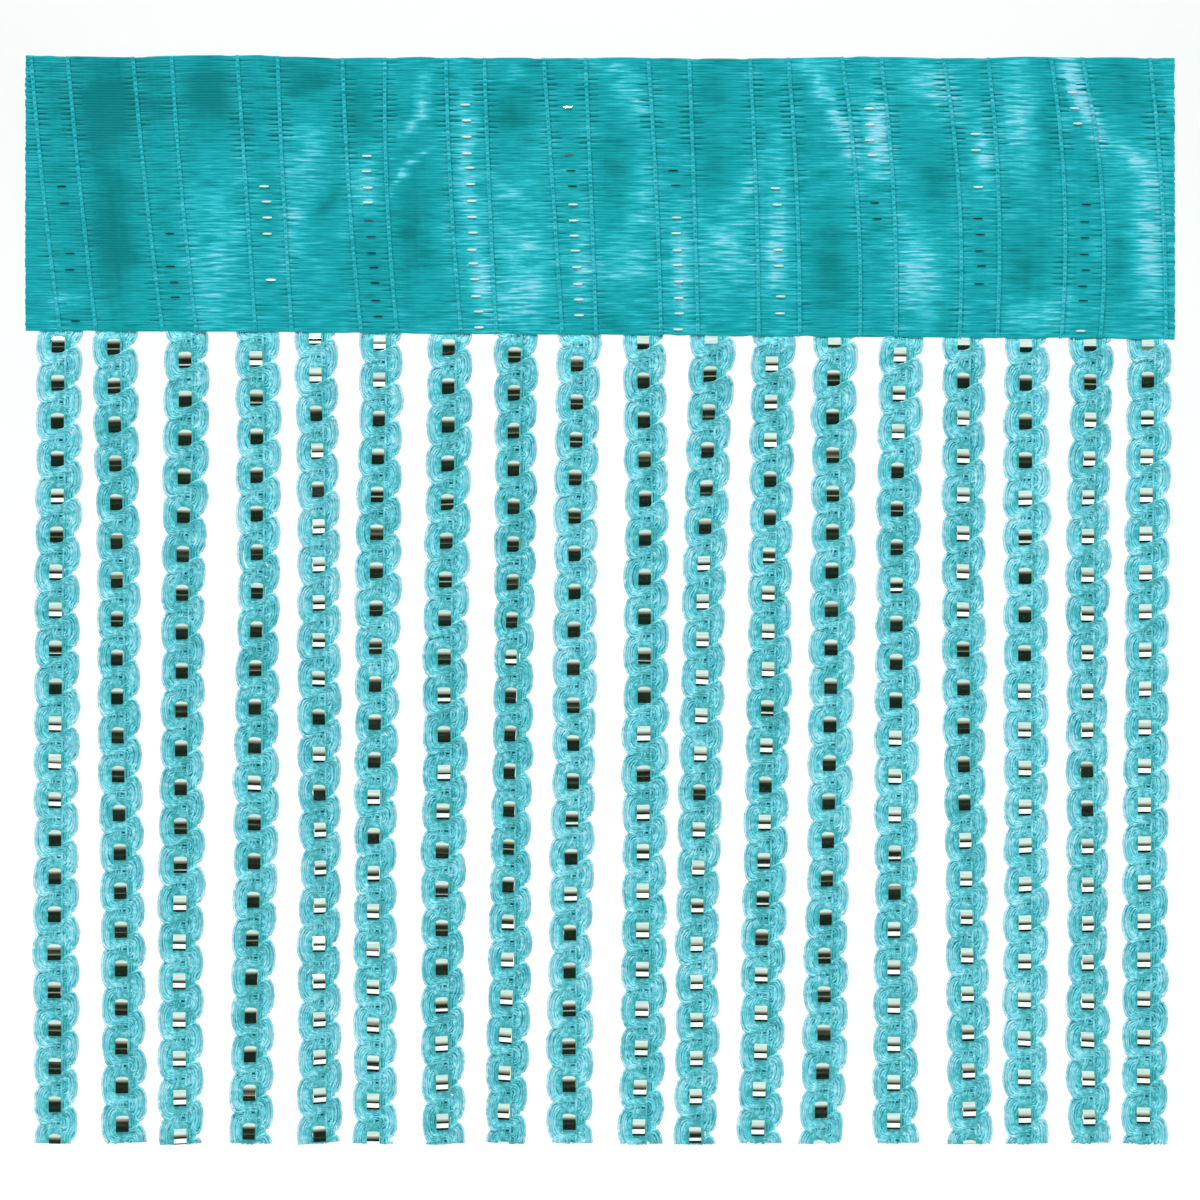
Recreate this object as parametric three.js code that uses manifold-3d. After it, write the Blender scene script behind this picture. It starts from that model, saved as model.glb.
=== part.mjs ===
// String curtain: a hung cut length of knitted heading band with flat knitted strings below it.
//
// Frame: millimetres, +Z up, +X to the right, the cloth's face towards -Y.
// Origin: the middle of the heading's top edge, on the cloth's middle plane.
// A depth is a distance down from the top edge, so a point at depth d lies at z = -d.

import * as THREE from "three";
import { mergeVertices } from "three/addons/utils/BufferGeometryUtils.js";
import Module from "manifold-3d";

// Driving dimensions
const clothWidth = 179.7;
const clothThickness = 1.2;
const headingDropLeft = 43.0;
const headingDropRight = 44.4;
const totalDrop = 170.0;
const nodeGap = 0.3;

const ribHalfWidth = 0.55;
const ribHeight = 0.4;
const rowsInHeading = 7;

const billowLength = 61.0;
const billowHeight = 0.7;
const billowStart = 0.9;
const billowLeftAtFoot = 0.45;

const stripDrop = 4.0;
const rootBury = 0.6;
const rootThickness = 0.7;

const stringPitch = 10.0;
const stringThickness = 1.6;
const stitchPitch = 6.0;
const stationsPerStitch = 4;
const lobeHalfWidth = 3.36;
const notchHalfWidth = 2.1;
const fillOutDrop = 3.0;
const settleDrop = 16.0;

// Raised chains of the heading, from left to right: x where each crosses the top edge,
// the middle and the lower edge of the band.
// columns: top, middle, foot
const chains = [
  [-89.0, -87.0, -84.4],
  [-83.3, -81.2, -78.8],
  [-73.0, -70.9, -68.3],
  [-66.9, -65.3, -63.0],
  [-56.6, -55.2, -53.8],
  [-50.3, -49.4, -48.1],
  [-40.2, -39.2, -37.3],
  [-33.6, -33.3, -31.7],
  [-24.1, -23.3, -21.7],
  [-18.1, -17.3, -16.2],
  [-8.8, -7.3, -5.9],
  [-2.3, -1.4, -0.6],
  [7.5, 8.8, 9.5],
  [13.9, 14.7, 15.3],
  [23.4, 24.4, 24.8],
  [29.4, 30.8, 31.2],
  [37.8, 40.2, 40.6],
  [43.9, 45.9, 46.2],
  [53.6, 56.1, 56.1],
  [60.5, 62.2, 62.0],
  [70.3, 72.5, 72.0],
  [75.2, 78.4, 78.1],
  [85.9, 87.8, 88.4],
];

// Soft ridges and hollows where the band buckles between its chains. lean is how far the
// ridge moves to the right for each millimetre down, and rise is towards the viewer.
// columns: x, depth, halfWidth, halfDrop, lean, rise
const ripples = [
  [-59.4, 32.4, 3.6, 13.0, -0.05, 0.6],
  [-45.3, 14.8, 3.0, 5.0, 0.0, 0.4],
  [-28.9, 6.3, 2.6, 8.0, -0.1, 0.6],
  [-10.9, 37.0, 4.0, 7.0, 0.0, 0.5],
  [4.4, 5.8, 4.6, 8.0, 0.0, 0.7],
  [18.8, 32.8, 4.0, 7.0, 0.0, 0.5],
  [33.6, 6.3, 2.8, 8.0, 0.55, 0.7],
  [49.8, 33.9, 3.4, 9.0, 0.0, 0.6],
  [65.3, 13.0, 3.4, 13.0, 0.05, 0.8],
  [84.6, 27.7, 3.6, 14.0, 0.0, 0.6],
  [-76.6, 7.8, 4.0, 6.0, 0.0, -0.6],
  [-76.6, 29.7, 3.8, 11.0, 0.05, -0.5],
  [-43.0, 21.0, 3.0, 7.0, -0.55, -0.5],
  [-29.0, 27.3, 3.6, 13.0, 0.05, -0.6],
  [-12.2, 9.4, 4.2, 6.0, 0.0, -0.6],
  [3.9, 18.4, 3.4, 7.0, 0.0, -0.5],
  [34.8, 20.0, 4.0, 7.0, 0.0, -0.5],
  [67.5, 33.6, 4.2, 7.0, 0.0, -0.5],
];

// Strings from left to right. top, middle and foot are how far each stands to the right of
// its regular place, window is the depth of its first foil window, turn is how far it has
// turned about its own length in degrees, and swing is how far its foot hangs forward.
// columns: top, middle, foot, window, turn, swing
const strings = [
  [0.5, 0.0, -0.1, 45.6, 6, 0.3],
  [-0.6, -0.2, 0.5, 46.4, -4, -0.4],
  [0.6, -0.2, -0.5, 48.0, 10, 0.5],
  [1.4, 1.3, 0.5, 48.8, -3, 0.1],
  [0.8, 1.0, 1.2, 45.2, 24, -0.5],
  [0.9, 0.2, -0.2, 45.3, -8, 0.4],
  [1.5, 0.9, 0.3, 45.9, 5, 0.7],
  [2.0, 1.5, 0.3, 47.3, -20, -0.2],
  [1.7, 1.1, 0.5, 48.9, 7, -0.6],
  [2.2, 2.3, 1.6, 45.6, -5, 0.3],
  [2.3, 1.0, 0.2, 50.2, 9, 0.6],
  [2.0, 1.5, 0.2, 48.6, -6, -0.3],
  [1.7, 1.1, -0.3, 51.1, 4, 0.2],
  [1.9, 1.3, 0.9, 47.7, -10, -0.5],
  [1.9, 2.0, 2.6, 50.8, 8, 0.5],
  [1.6, 1.4, 1.3, 51.4, -3, 0.2],
  [1.6, 0.9, 1.3, 45.5, 11, -0.4],
  [0.6, 0.2, -0.2, 51.3, -7, 0.4],
];

const mix = THREE.MathUtils.lerp;
const ease = THREE.MathUtils.smoothstep;

// A smooth value through three others, met at share 0, one half and 1.
function through([start, middle, end], share) {
  const bow = middle - (start + end) / 2;
  return mix(start, end, share) + 4 * bow * share * (1 - share);
}

function lowerEdge(x) {
  return mix(headingDropLeft, headingDropRight, x / clothWidth + 0.5);
}

// How far the cloth of the band stands forward of its middle plane.
function rise(x, depth) {
  const down = depth / headingDropRight;
  const billow = Math.sin((2 * Math.PI * x) / billowLength + billowStart);
  let sum = billowHeight * billow * mix(1, billowLeftAtFoot, down);
  for (const [atX, atDepth, halfWidth, halfDrop, lean, height] of ripples) {
    const across = (x - atX - lean * (depth - atDepth)) / halfWidth;
    const along = (depth - atDepth) / halfDrop;
    sum += height * Math.exp(-across * across - along * along);
  }
  return sum;
}

// The band's columns from its left cut to its right one. Each gives its x at a share of the
// band's drop, and says whether it is the crest of a chain.
function bandColumns() {
  const leftCut = () => -clothWidth / 2;
  const rightCut = () => clothWidth / 2;
  const columns = [{ place: leftCut, crest: false }];
  let before = leftCut;
  const spread = (from, to) => {
    const steps = to(0.5) - from(0.5) > 6 ? 3 : 2;
    for (let k = 1; k < steps; k++) {
      columns.push({ place: (s) => mix(from(s), to(s), k / steps), crest: false });
    }
  };
  chains.forEach((chain, index) => {
    const left = (s) => through(chain, s) - ribHalfWidth;
    const right = (s) => through(chain, s) + ribHalfWidth;
    if (index > 0) spread(before, left);
    columns.push({ place: left, crest: false });
    columns.push({ place: (s) => through(chain, s), crest: true });
    columns.push({ place: right, crest: false });
    before = right;
  });
  columns.push({ place: rightCut, crest: false });
  return columns;
}

// A stretch of the band between two depths, as a box whose vertices are moved to the cloth.
function bandGeometry(fromDepth, toDepth, rows) {
  const columns = bandColumns();
  const last = columns.length - 1;
  const box = new THREE.BoxGeometry(1, 1, 1, last, 1, rows);
  const position = box.getAttribute("position");
  for (let i = 0; i < position.count; i++) {
    const column = columns[Math.round((position.getX(i) + 0.5) * last)];
    const down = 0.5 - position.getZ(i);
    const front = position.getY(i) < 0;
    const guess = column.place(0.5);
    const depth = mix(fromDepth(guess), toDepth(guess), down);
    const x = column.place(depth / lowerEdge(guess));
    const rib = front && column.crest ? ribHeight : 0;
    const y = -rise(x, depth) + (front ? -clothThickness / 2 - rib : clothThickness / 2);
    position.setXYZ(i, x, y, -depth);
  }
  return box;
}

// Half-width of a string's edge, which swells once a stitch about the depth named window.
function scallop(depth, window) {
  const phase = THREE.MathUtils.euclideanModulo((depth - window) / stitchPitch + 0.5, 1);
  const swell = 1 - (2 * phase - 1) ** 2;
  return mix(notchHalfWidth, lobeHalfWidth, swell);
}

// Depths at which a string gets a section: its root, then evenly through each stitch, then its cut end.
function stationDepths(root, window) {
  const step = stitchPitch / stationsPerStitch;
  const first = window - Math.floor((window - root) / step - 0.2) * step;
  const depths = [root];
  for (let depth = first; depth < totalDrop - step / 2; depth += step) depths.push(depth);
  depths.push(totalDrop);
  return depths;
}

// A string as a three-sided tube: a flat back, a ridge in front and two scalloped edges.
function stringGeometry([top, middle, foot, window, turn, swing], index) {
  const regular = (index - (strings.length - 1) / 2) * stringPitch;
  const rootX = regular + top;
  const root = lowerEdge(rootX) - rootBury;
  const rootForward = rise(rootX, root);
  const depths = stationDepths(root, window);
  const last = depths.length - 1;

  const tube = new THREE.CylinderGeometry(1, 1, 1, 3, last);
  tube.rotateX(Math.PI / 2);
  const position = tube.getAttribute("position");
  for (let i = 0; i < position.count; i++) {
    const depth = depths[Math.round((0.5 - position.getZ(i)) * last)];
    const hang = depth - root;
    const settled = ease(hang, 0, settleDrop);
    const side = Math.sign(Math.round(position.getX(i)));
    const inFront = Math.sign(Math.round(position.getY(i) * 1.5));

    const halfWidth = side < 0 ? scallop(depth, window) : scallop(depth, window + stitchPitch / 2);
    const thickness = mix(rootThickness, stringThickness, ease(hang, 0, fillOutDrop));
    const across = side * halfWidth;
    const away = (inFront * thickness) / 2;
    const angle = THREE.MathUtils.degToRad(turn) * settled;

    const share = hang / (totalDrop - root);
    const centreX = regular + through([top, middle, foot], share);
    const centreY = -mix(rootForward, rootForward * 0.5 + swing, ease(share, 0, 1));
    const x = centreX + across * Math.cos(angle) - away * Math.sin(angle);
    const y = centreY + across * Math.sin(angle) + away * Math.cos(angle);
    position.setXYZ(i, x, y, -depth);
  }
  return tube;
}

// The same surface with each shared corner stored once, as a join needs it.
function closed(geometry) {
  geometry.deleteAttribute("normal");
  geometry.deleteAttribute("uv");
  return mergeVertices(geometry, 1e-4);
}

const wasm = await Module();
wasm.setup();

function solidFrom(geometry) {
  const body = closed(geometry);
  return new wasm.Manifold(
    new wasm.Mesh({
      numProp: 3,
      vertProperties: body.getAttribute("position").array,
      triVerts: new Uint32Array(body.index.array),
    }),
  );
}

function geometryFrom(solid) {
  const made = solid.getMesh();
  const geometry = new THREE.BufferGeometry();
  geometry.setAttribute("position", new THREE.BufferAttribute(made.vertProperties, 3));
  geometry.setIndex(new THREE.BufferAttribute(made.triVerts, 1));
  return geometry;
}

function namedMesh(name, geometry, material) {
  geometry.computeVertexNormals();
  const mesh = new THREE.Mesh(geometry, material);
  mesh.name = name;
  return mesh;
}

const headingCloth = new THREE.MeshStandardMaterial({
  color: new THREE.Color(0.03, 0.37, 0.42),
  roughness: 0.45,
  metalness: 0,
});
const stringYarn = new THREE.MeshStandardMaterial({
  color: new THREE.Color(0.12, 0.55, 0.62),
  roughness: 0.4,
  metalness: 0,
});

// The band, down to the narrow strip that carries the strings.
function heading() {
  const top = () => 0;
  const foot = (x) => lowerEdge(x) - stripDrop - nodeGap;
  return closed(bandGeometry(top, foot, rowsInHeading));
}

// The strip parted from the band's lower edge, with every string's root fused into it.
function stringsOnStrip() {
  const strip = bandGeometry((x) => lowerEdge(x) - stripDrop, lowerEdge, 1);
  let joined = solidFrom(strip);
  strings.forEach((row, index) => {
    joined = joined.add(solidFrom(stringGeometry(row, index)));
  });
  return geometryFrom(joined);
}

const curtain = new THREE.Group();
curtain.name = "string_curtain";
curtain.add(namedMesh("heading", heading(), headingCloth));
curtain.add(namedMesh("strings", stringsOnStrip(), stringYarn));

export default curtain;
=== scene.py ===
# %% [markdown]
# # A string curtain, hung in a studio
# This is a cut length of a knitted string curtain. A dense teal band, the heading, runs
# along its top. Eighteen flat strings hang from the band's lower edge. Each string is a
# narrow knitted tape: glossy yarns swing from side to side and leave loops along both
# edges, and a strip of mirror foil shines through a window in every stitch.
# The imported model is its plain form. This file keeps that form's sizes and places, and
# dresses it in yarns and foil under a studio's light.

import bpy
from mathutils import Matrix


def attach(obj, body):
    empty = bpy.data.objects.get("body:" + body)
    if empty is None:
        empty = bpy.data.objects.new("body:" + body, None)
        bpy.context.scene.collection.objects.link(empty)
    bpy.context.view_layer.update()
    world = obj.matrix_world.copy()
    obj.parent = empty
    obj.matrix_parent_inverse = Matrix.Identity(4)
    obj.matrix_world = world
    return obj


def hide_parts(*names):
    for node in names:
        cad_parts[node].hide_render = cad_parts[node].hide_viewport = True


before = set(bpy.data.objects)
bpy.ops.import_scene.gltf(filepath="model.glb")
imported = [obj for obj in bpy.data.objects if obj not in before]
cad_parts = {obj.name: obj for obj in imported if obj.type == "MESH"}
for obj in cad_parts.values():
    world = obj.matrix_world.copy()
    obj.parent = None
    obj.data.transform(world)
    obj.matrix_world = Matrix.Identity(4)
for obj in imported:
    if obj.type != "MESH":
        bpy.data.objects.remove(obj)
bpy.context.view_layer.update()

# %% [markdown]
# Blender is driven here as by hand: a primitive is added, its points are moved into shape,
# and modifiers finish it. An operator works on everything that is selected, and loading
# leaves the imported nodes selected, so a small helper clears the selection before each new
# piece.

# %% Helpers for selecting, making and finishing a piece
import math

import bpy
import numpy as np
from mathutils import Vector

MM = 0.001
BODY = "root"


def select_only(*things):
    if bpy.context.mode != "OBJECT":
        bpy.ops.object.mode_set(mode="OBJECT")
    bpy.ops.object.select_all(action="DESELECT")
    for thing in things:
        thing.select_set(True)
    if things:
        bpy.context.view_layer.objects.active = things[0]


def named(name):
    piece = bpy.context.object
    piece.name = name
    piece.data.name = name
    return piece


def add_modifier(piece, kind, **settings):
    select_only(piece)
    bpy.ops.object.modifier_add(type=kind)
    modifier = piece.modifiers[-1]
    for key, value in settings.items():
        setattr(modifier, key, value)


def finish_modifiers(piece):
    select_only(piece)
    for name in [modifier.name for modifier in piece.modifiers]:
        bpy.ops.object.modifier_apply(modifier=name)


def points_of(piece):
    flat = np.empty(len(piece.data.vertices) * 3)
    piece.data.vertices.foreach_get("co", flat)
    return flat.reshape(-1, 3)


def move_points(piece, points):
    piece.data.vertices.foreach_set("co", np.asarray(points, float).ravel())
    piece.data.update()


def note_on_points(piece, name, values):
    """Stores one number per vertex, which a material can read by its name."""
    layer = piece.data.attributes.new(name, "FLOAT", "POINT")
    layer.data.foreach_set("value", np.asarray(values, np.float32))


def triangles_of(*pieces):
    for piece in pieces:
        piece.data.calc_loop_triangles()
    return sum(len(piece.data.loop_triangles) for piece in pieces)


def join_pieces(name, pieces):
    select_only(*pieces)
    bpy.ops.object.join()
    return named(name)


def mix(low, high, share):
    return low + (high - low) * share


def smooth_step(value, low, high):
    share = np.clip((np.asarray(value, float) - low) / (high - low), 0, 1)
    return share * share * (3 - 2 * share)


# %% [markdown]
# ## The camera
# The photograph looks straight at the cloth, with no sideways lean and little perspective,
# so a long lens stands about half a metre away, level with the middle of the picture.

# %% The camera at the photograph's place
PIXELS_PER_MM = 6.4
PHOTO_SIDE_PX = 1200
TOP_EDGE_ROW_PX = 55
LENS_MM = 100.0
SENSOR_MM = 36.0
NEAREST_SEEN = 10 * MM

view_width = PHOTO_SIDE_PX / PIXELS_PER_MM * MM
camera_distance = view_width * LENS_MM / SENSOR_MM
view_middle_z = -(PHOTO_SIDE_PX / 2 - TOP_EDGE_ROW_PX) / PIXELS_PER_MM * MM

select_only()
bpy.ops.object.camera_add(
    location=(0, -camera_distance, view_middle_z), rotation=(math.radians(90), 0, 0)
)
camera = bpy.context.object
camera.data.lens = LENS_MM
camera.data.sensor_width = SENSOR_MM
camera.data.clip_start = NEAREST_SEEN
bpy.context.scene.camera = camera
print("camera", round(camera_distance, 3), "m away, picture", round(view_width, 4), "m wide")

# %% [markdown]
# ## The shape of the hanging cloth
# Every yarn of the band follows one surface: a slow billow along the curtain, and soft
# ridges and hollows where the cloth buckles between its chains. The surface is written
# once, as a function, so that the cloth, its yarns and the roots of the strings agree.

# %% Sizes of the band and its surface
CLOTH_WIDTH = 179.7 * MM
DROP_LEFT, DROP_RIGHT = 43.0 * MM, 44.4 * MM
TOTAL_DROP = 170.0 * MM
BILLOW_LENGTH, BILLOW_HEIGHT = 61.0 * MM, 0.7 * MM
BILLOW_START, BILLOW_AT_FOOT = 0.9, 0.45

# How far the top edge dips, by place along it, both in mm.
EDGE_DIPS = (
    (-90, 0.0),
    (-74, 0.3),
    (-55, 0.15),
    (-42, 0.55),
    (-28, 0.3),
    (-15, 0.45),
    (15, 0.7),
    (30, 0.45),
    (41, 0.15),
    (54, 0.55),
    (90, 0.45),
)

# The raised chains, by where each crosses the band's top, middle and lower edge, in mm.
CHAINS = np.array([
    (-89.0, -87.0, -84.4),
    (-83.3, -81.2, -78.8),
    (-73.0, -70.9, -68.3),
    (-66.9, -65.3, -63.0),
    (-56.6, -55.2, -53.8),
    (-50.3, -49.4, -48.1),
    (-40.2, -39.2, -37.3),
    (-33.6, -33.3, -31.7),
    (-24.1, -23.3, -21.7),
    (-18.1, -17.3, -16.2),
    (-8.8, -7.3, -5.9),
    (-2.3, -1.4, -0.6),
    (7.5, 8.8, 9.5),
    (13.9, 14.7, 15.3),
    (23.4, 24.4, 24.8),
    (29.4, 30.8, 31.2),
    (37.8, 40.2, 40.6),
    (43.9, 45.9, 46.2),
    (53.6, 56.1, 56.1),
    (60.5, 62.2, 62.0),
    (70.3, 72.5, 72.0),
    (75.2, 78.4, 78.1),
    (85.9, 87.8, 88.4),
]) * MM

# Ridges and hollows: x, depth, half-width, half-drop, lean to the right going down, rise.
RIPPLES = (
    (-59.4, 32.4, 3.6, 13.0, -0.05, 0.6),
    (-45.3, 14.8, 3.0, 5.0, 0.0, 0.4),
    (-28.9, 6.3, 2.6, 8.0, -0.1, 0.6),
    (-10.9, 37.0, 4.0, 7.0, 0.0, 0.5),
    (4.4, 5.8, 4.6, 8.0, 0.0, 0.7),
    (18.8, 32.8, 4.0, 7.0, 0.0, 0.5),
    (33.6, 6.3, 2.8, 8.0, 0.55, 0.7),
    (49.8, 33.9, 3.4, 9.0, 0.0, 0.6),
    (65.3, 13.0, 3.4, 13.0, 0.05, 0.8),
    (84.6, 27.7, 3.6, 14.0, 0.0, 0.6),
    (-76.6, 7.8, 4.0, 6.0, 0.0, -0.6),
    (-76.6, 29.7, 3.8, 11.0, 0.05, -0.5),
    (-43.0, 21.0, 3.0, 7.0, -0.55, -0.5),
    (-29.0, 27.3, 3.6, 13.0, 0.05, -0.6),
    (-12.2, 9.4, 4.2, 6.0, 0.0, -0.6),
    (3.9, 18.4, 3.4, 7.0, 0.0, -0.5),
    (34.8, 20.0, 4.0, 7.0, 0.0, -0.5),
    (67.5, 33.6, 4.2, 7.0, 0.0, -0.5),
)


def through(row, share):
    """A smooth value that meets three others at share 0, one half and 1."""
    start, middle, end = row
    bow = middle - (start + end) / 2
    return start + (end - start) * share + 4 * bow * share * (1 - share)


def top_edge(x):
    at, dip = np.array(EDGE_DIPS).T * MM
    return np.interp(x, at, dip)


def lower_edge(x):
    return mix(DROP_LEFT, DROP_RIGHT, np.asarray(x) / CLOTH_WIDTH + 0.5)


def depth_at(x, share):
    """How deep below the top a place lies: share 0 at the top edge, 1 at the lower edge."""
    return mix(top_edge(x), lower_edge(x), share)


def bumps(table, x, depth):
    """The sum of soft oval bumps, each a row of a table like the one of ripples."""
    total = np.zeros(np.broadcast(x, depth).shape)
    for at_x, at_depth, half_width, half_drop, lean, height in table:
        down = depth / MM - at_depth
        across = (x / MM - at_x - lean * down) / half_width
        total = total + height * np.exp(-(across**2) - (down / half_drop) ** 2)
    return total


def rise(x, depth):
    """How far the middle of the cloth stands forward, towards the viewer."""
    x, depth = np.asarray(x, float), np.asarray(depth, float)
    fade = mix(1, BILLOW_AT_FOOT, depth / DROP_RIGHT)
    billow = BILLOW_HEIGHT * np.sin(2 * np.pi * x / BILLOW_LENGTH + BILLOW_START) * fade
    return billow + bumps(RIPPLES, x, depth) * MM


def chain_x(index, share):
    return through(CHAINS[index], share)


def on_cloth(x, depth, forward):
    """Points that stand forward of the cloth's middle surface by a given distance."""
    return np.stack([x, -rise(x, depth) - forward, -depth], axis=-1)


print("band", round(CLOTH_WIDTH, 4), "m wide,", len(CHAINS), "chains,", len(RIPPLES), "ripples")

# %% [markdown]
# ## Shader helpers
# A material's arithmetic is easier to read as an expression than as a list of Math nodes.
# `Number` wraps a socket, and Python's own operators on it add the Math nodes. Every other
# node comes from `add`, which sets the node's settings first and then its sockets.


# %% A socket that can be used in sums
class Number:
    def __init__(self, recipe, socket):
        self.recipe = recipe
        self.socket = socket

    def math(self, operation, *values):
        settings = {"operation": operation}
        return self.recipe.number("ShaderNodeMath", settings, dict(enumerate(values)))

    def __add__(self, other):
        return self.math("ADD", self, other)

    def __sub__(self, other):
        return self.math("SUBTRACT", self, other)

    def __rsub__(self, other):
        return self.math("SUBTRACT", other, self)

    def __mul__(self, other):
        return self.math("MULTIPLY", self, other)

    def within(self, low, high):
        """0 at low or below, 1 at high or above, and smooth between."""
        ends = {"Value": self, "From Min": low, "From Max": high}
        return self.recipe.number(
            "ShaderNodeMapRange", {"interpolation_type": "SMOOTHSTEP"}, ends
        )

    __radd__ = __add__
    __rmul__ = __mul__


# %% A node tree with a method that adds any node
class Recipe:
    def __init__(self, tree):
        self.tree = tree

    def add(self, kind, settings=None, inputs=None):
        node = self.tree.nodes.new(kind)
        for key, value in (settings or {}).items():
            setattr(node, key, value)
        for key, value in (inputs or {}).items():
            self.feed(node.inputs[key], value)
        return node

    def number(self, kind, settings=None, inputs=None):
        return Number(self, self.add(kind, settings, inputs).outputs[0])

    def feed(self, socket, value):
        if isinstance(value, Number):
            value = value.socket
        if isinstance(value, bpy.types.NodeSocket):
            self.tree.links.new(value, socket)
        else:
            socket.default_value = value

    def blend(self, share, low, high):
        """A colour that goes from low to high as share goes from 0 to 1."""
        inputs = {0: share, 6: low, 7: high}
        return self.add("ShaderNodeMix", {"data_type": "RGBA"}, inputs).outputs[2]


# %% A material's recipe
class Look(Recipe):
    def __init__(self, name):
        self.material = bpy.data.materials.new(name)
        self.material.use_nodes = True
        super().__init__(self.material.node_tree)
        self.shader = self.tree.nodes["Principled BSDF"]

    def set(self, **values):
        """Feeds the shader's own sockets, named with underscores for spaces."""
        for key, value in values.items():
            self.feed(self.shader.inputs[key.replace("_", " ")], value)

    def noted(self, name):
        """A number that was stored on the piece's points."""
        node = self.add("ShaderNodeAttribute", {"attribute_name": name})
        return Number(self, node.outputs["Fac"])

    def place(self, coordinates="Object", stretch=(1, 1, 1)):
        """Coordinates of the piece, or its UV map, stretched along each axis."""
        where = self.add("ShaderNodeTexCoord").outputs[coordinates]
        return self.add("ShaderNodeMapping", None, {"Vector": where, "Scale": stretch}).outputs[0]

    def noise(self, where, scale=1.0, detail=2.0):
        inputs = {"Vector": where, "Scale": scale, "Detail": detail}
        return self.number("ShaderNodeTexNoise", None, inputs)

    def bump(self, height, distance, strength=1.0):
        inputs = {"Height": height, "Distance": distance, "Strength": strength}
        return self.add("ShaderNodeBump", None, inputs).outputs["Normal"]

    def dress(self, piece):
        piece.data.materials.clear()
        piece.data.materials.append(self.material)


def colour(red, green, blue):
    return (red, green, blue, 1.0)


# %% [markdown]
# ## Finishes
# The yarns are bundles of clear, dyed filaments: glossy, and a little see-through where few
# of them lie together, as in the loops at a string's edge. The band is the same yarn packed
# close, so it is deeper in colour. Over its ridges that colour is painted lighter, as painted
# sheen, and in its hollows darker, as painted shade. The fine filaments are a bump that runs
# along each yarn, on the UV map that a swept curve has.

# %% The string yarn
YARN_STREAKS = (700.0, 9.0, 1.0)
CLOUD_SCALE, SPARK_SCALE = 420.0, 1600.0
CLOUD_SHARE, STREAK_SHARE, PAINTED_SPARKLE_SHARE = 1.2, 1.6, 2.2
LOOP_CLEARNESS = 0.62
YARN_BUMP = 0.12 * MM
YARN_DEEP = colour(0.03, 0.40, 0.44)
YARN_MIDDLE = colour(0.15, 0.68, 0.79)
YARN_PALE = colour(0.48, 0.88, 0.98)

yarn = Look("string_yarn")
reach = yarn.noted("reach")
shade = yarn.noted("shade")
filament = yarn.noise(yarn.place("UV", YARN_STREAKS))
cloud = yarn.noise(yarn.place(), CLOUD_SCALE)
spark = yarn.noise(yarn.place(), SPARK_SCALE)
# The yarn's lightness: random cloud and streaks, the pale edges and painted shade noted on its
# points, and painted sparkle, fine pale and dark specks that stand in for glints on the glossy
# filaments.
light = shade + (cloud - 0.5) * CLOUD_SHARE
light = light + (filament - 0.5) * STREAK_SHARE + (spark - 0.5) * PAINTED_SPARKLE_SHARE
deep_to_middle = yarn.blend(light.within(-0.3, 0.4), YARN_DEEP, YARN_MIDDLE)
yarn.set(
    Base_Color=yarn.blend(light.within(0.3, 0.95), deep_to_middle, YARN_PALE),
    Roughness=mix(0.24, 0.49, filament.within(0.2, 0.8)),
    Alpha=1.0 - reach.within(0.6, 1.0) * spark.within(0.25, 0.6) * LOOP_CLEARNESS,
    Normal=yarn.bump(filament + spark, YARN_BUMP, 0.8),
    Specular_IOR_Level=0.6,
)
print("string yarn:", len(yarn.tree.nodes), "nodes")

# %% The band's yarn
BAND_STREAKS = (260.0, 7.0, 1.0)
BAND_DASHES = (240.0, 1.0, 2700.0)
BAND_PATCHES = (170.0, 1.0, 450.0)
STRAND_SHARE, DASH_SHARE, PATCH_SHARE = 0.6, 2.6, 1.1
BAND_BUMP = 0.04 * MM
# Deep is painted shade in the hollows, middle the yarn's own colour, and bright and lilac painted
# sheen where the band catches the light; random dashes and patches also move between them.
BAND_DEEP = colour(0.003, 0.18, 0.195)
BAND_MIDDLE = colour(0.008, 0.32, 0.365)
BAND_BRIGHT = colour(0.030, 0.46, 0.54)
BAND_LILAC = colour(0.21, 0.58, 0.72)


def band_look(name, unevenness):
    """The band's yarn: deep, middle, bright and lilac in turn as its painted light goes up, from
    painted shade to painted sheen, with random tone on top.
    """
    look = Look(name)
    lustre = look.noted("lustre")
    strand = look.noise(look.place("UV", BAND_STREAKS))
    dashes = look.noise(look.place("Object", BAND_DASHES), detail=3.0)
    patches = look.noise(look.place("Object", BAND_PATCHES))
    painted_light_and_tone = lustre * mix(0.5, 1.4, dashes.within(0.3, 0.7)) + (strand - 0.5) * STRAND_SHARE
    painted_light_and_tone = painted_light_and_tone + ((dashes - 0.5) * DASH_SHARE + (patches - 0.5) * PATCH_SHARE) * unevenness
    deep_to_middle = look.blend(painted_light_and_tone.within(-0.9, 0.1), BAND_DEEP, BAND_MIDDLE)
    to_bright = look.blend(painted_light_and_tone.within(0.05, 0.75), deep_to_middle, BAND_BRIGHT)
    look.set(
        Base_Color=look.blend(painted_light_and_tone.within(0.7, 1.4), to_bright, BAND_LILAC),
        Roughness=0.45,
        Normal=look.bump(strand, BAND_BUMP, 0.5),
        Specular_IOR_Level=0.04,
        Coat_Weight=painted_light_and_tone.within(0.5, 1.4) * 0.7,
        Coat_Roughness=0.35,
    )
    return look


band_yarn = band_look("band_yarn", 1.0)
chain_yarn = band_look("chain_yarn", 0.35)

# %% The cloth behind the band's yarns, darkened as painted shade
GROUND_GRAIN = (900.0, 900.0, 2400.0)
GROUND_BUMP = 0.1 * MM
# Both are darker than the band's yarns: painted shade for the gaps where the ground shows.
GROUND_DEEP = colour(0.002, 0.12, 0.13)
GROUND_LIGHT = colour(0.004, 0.21, 0.22)

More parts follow.
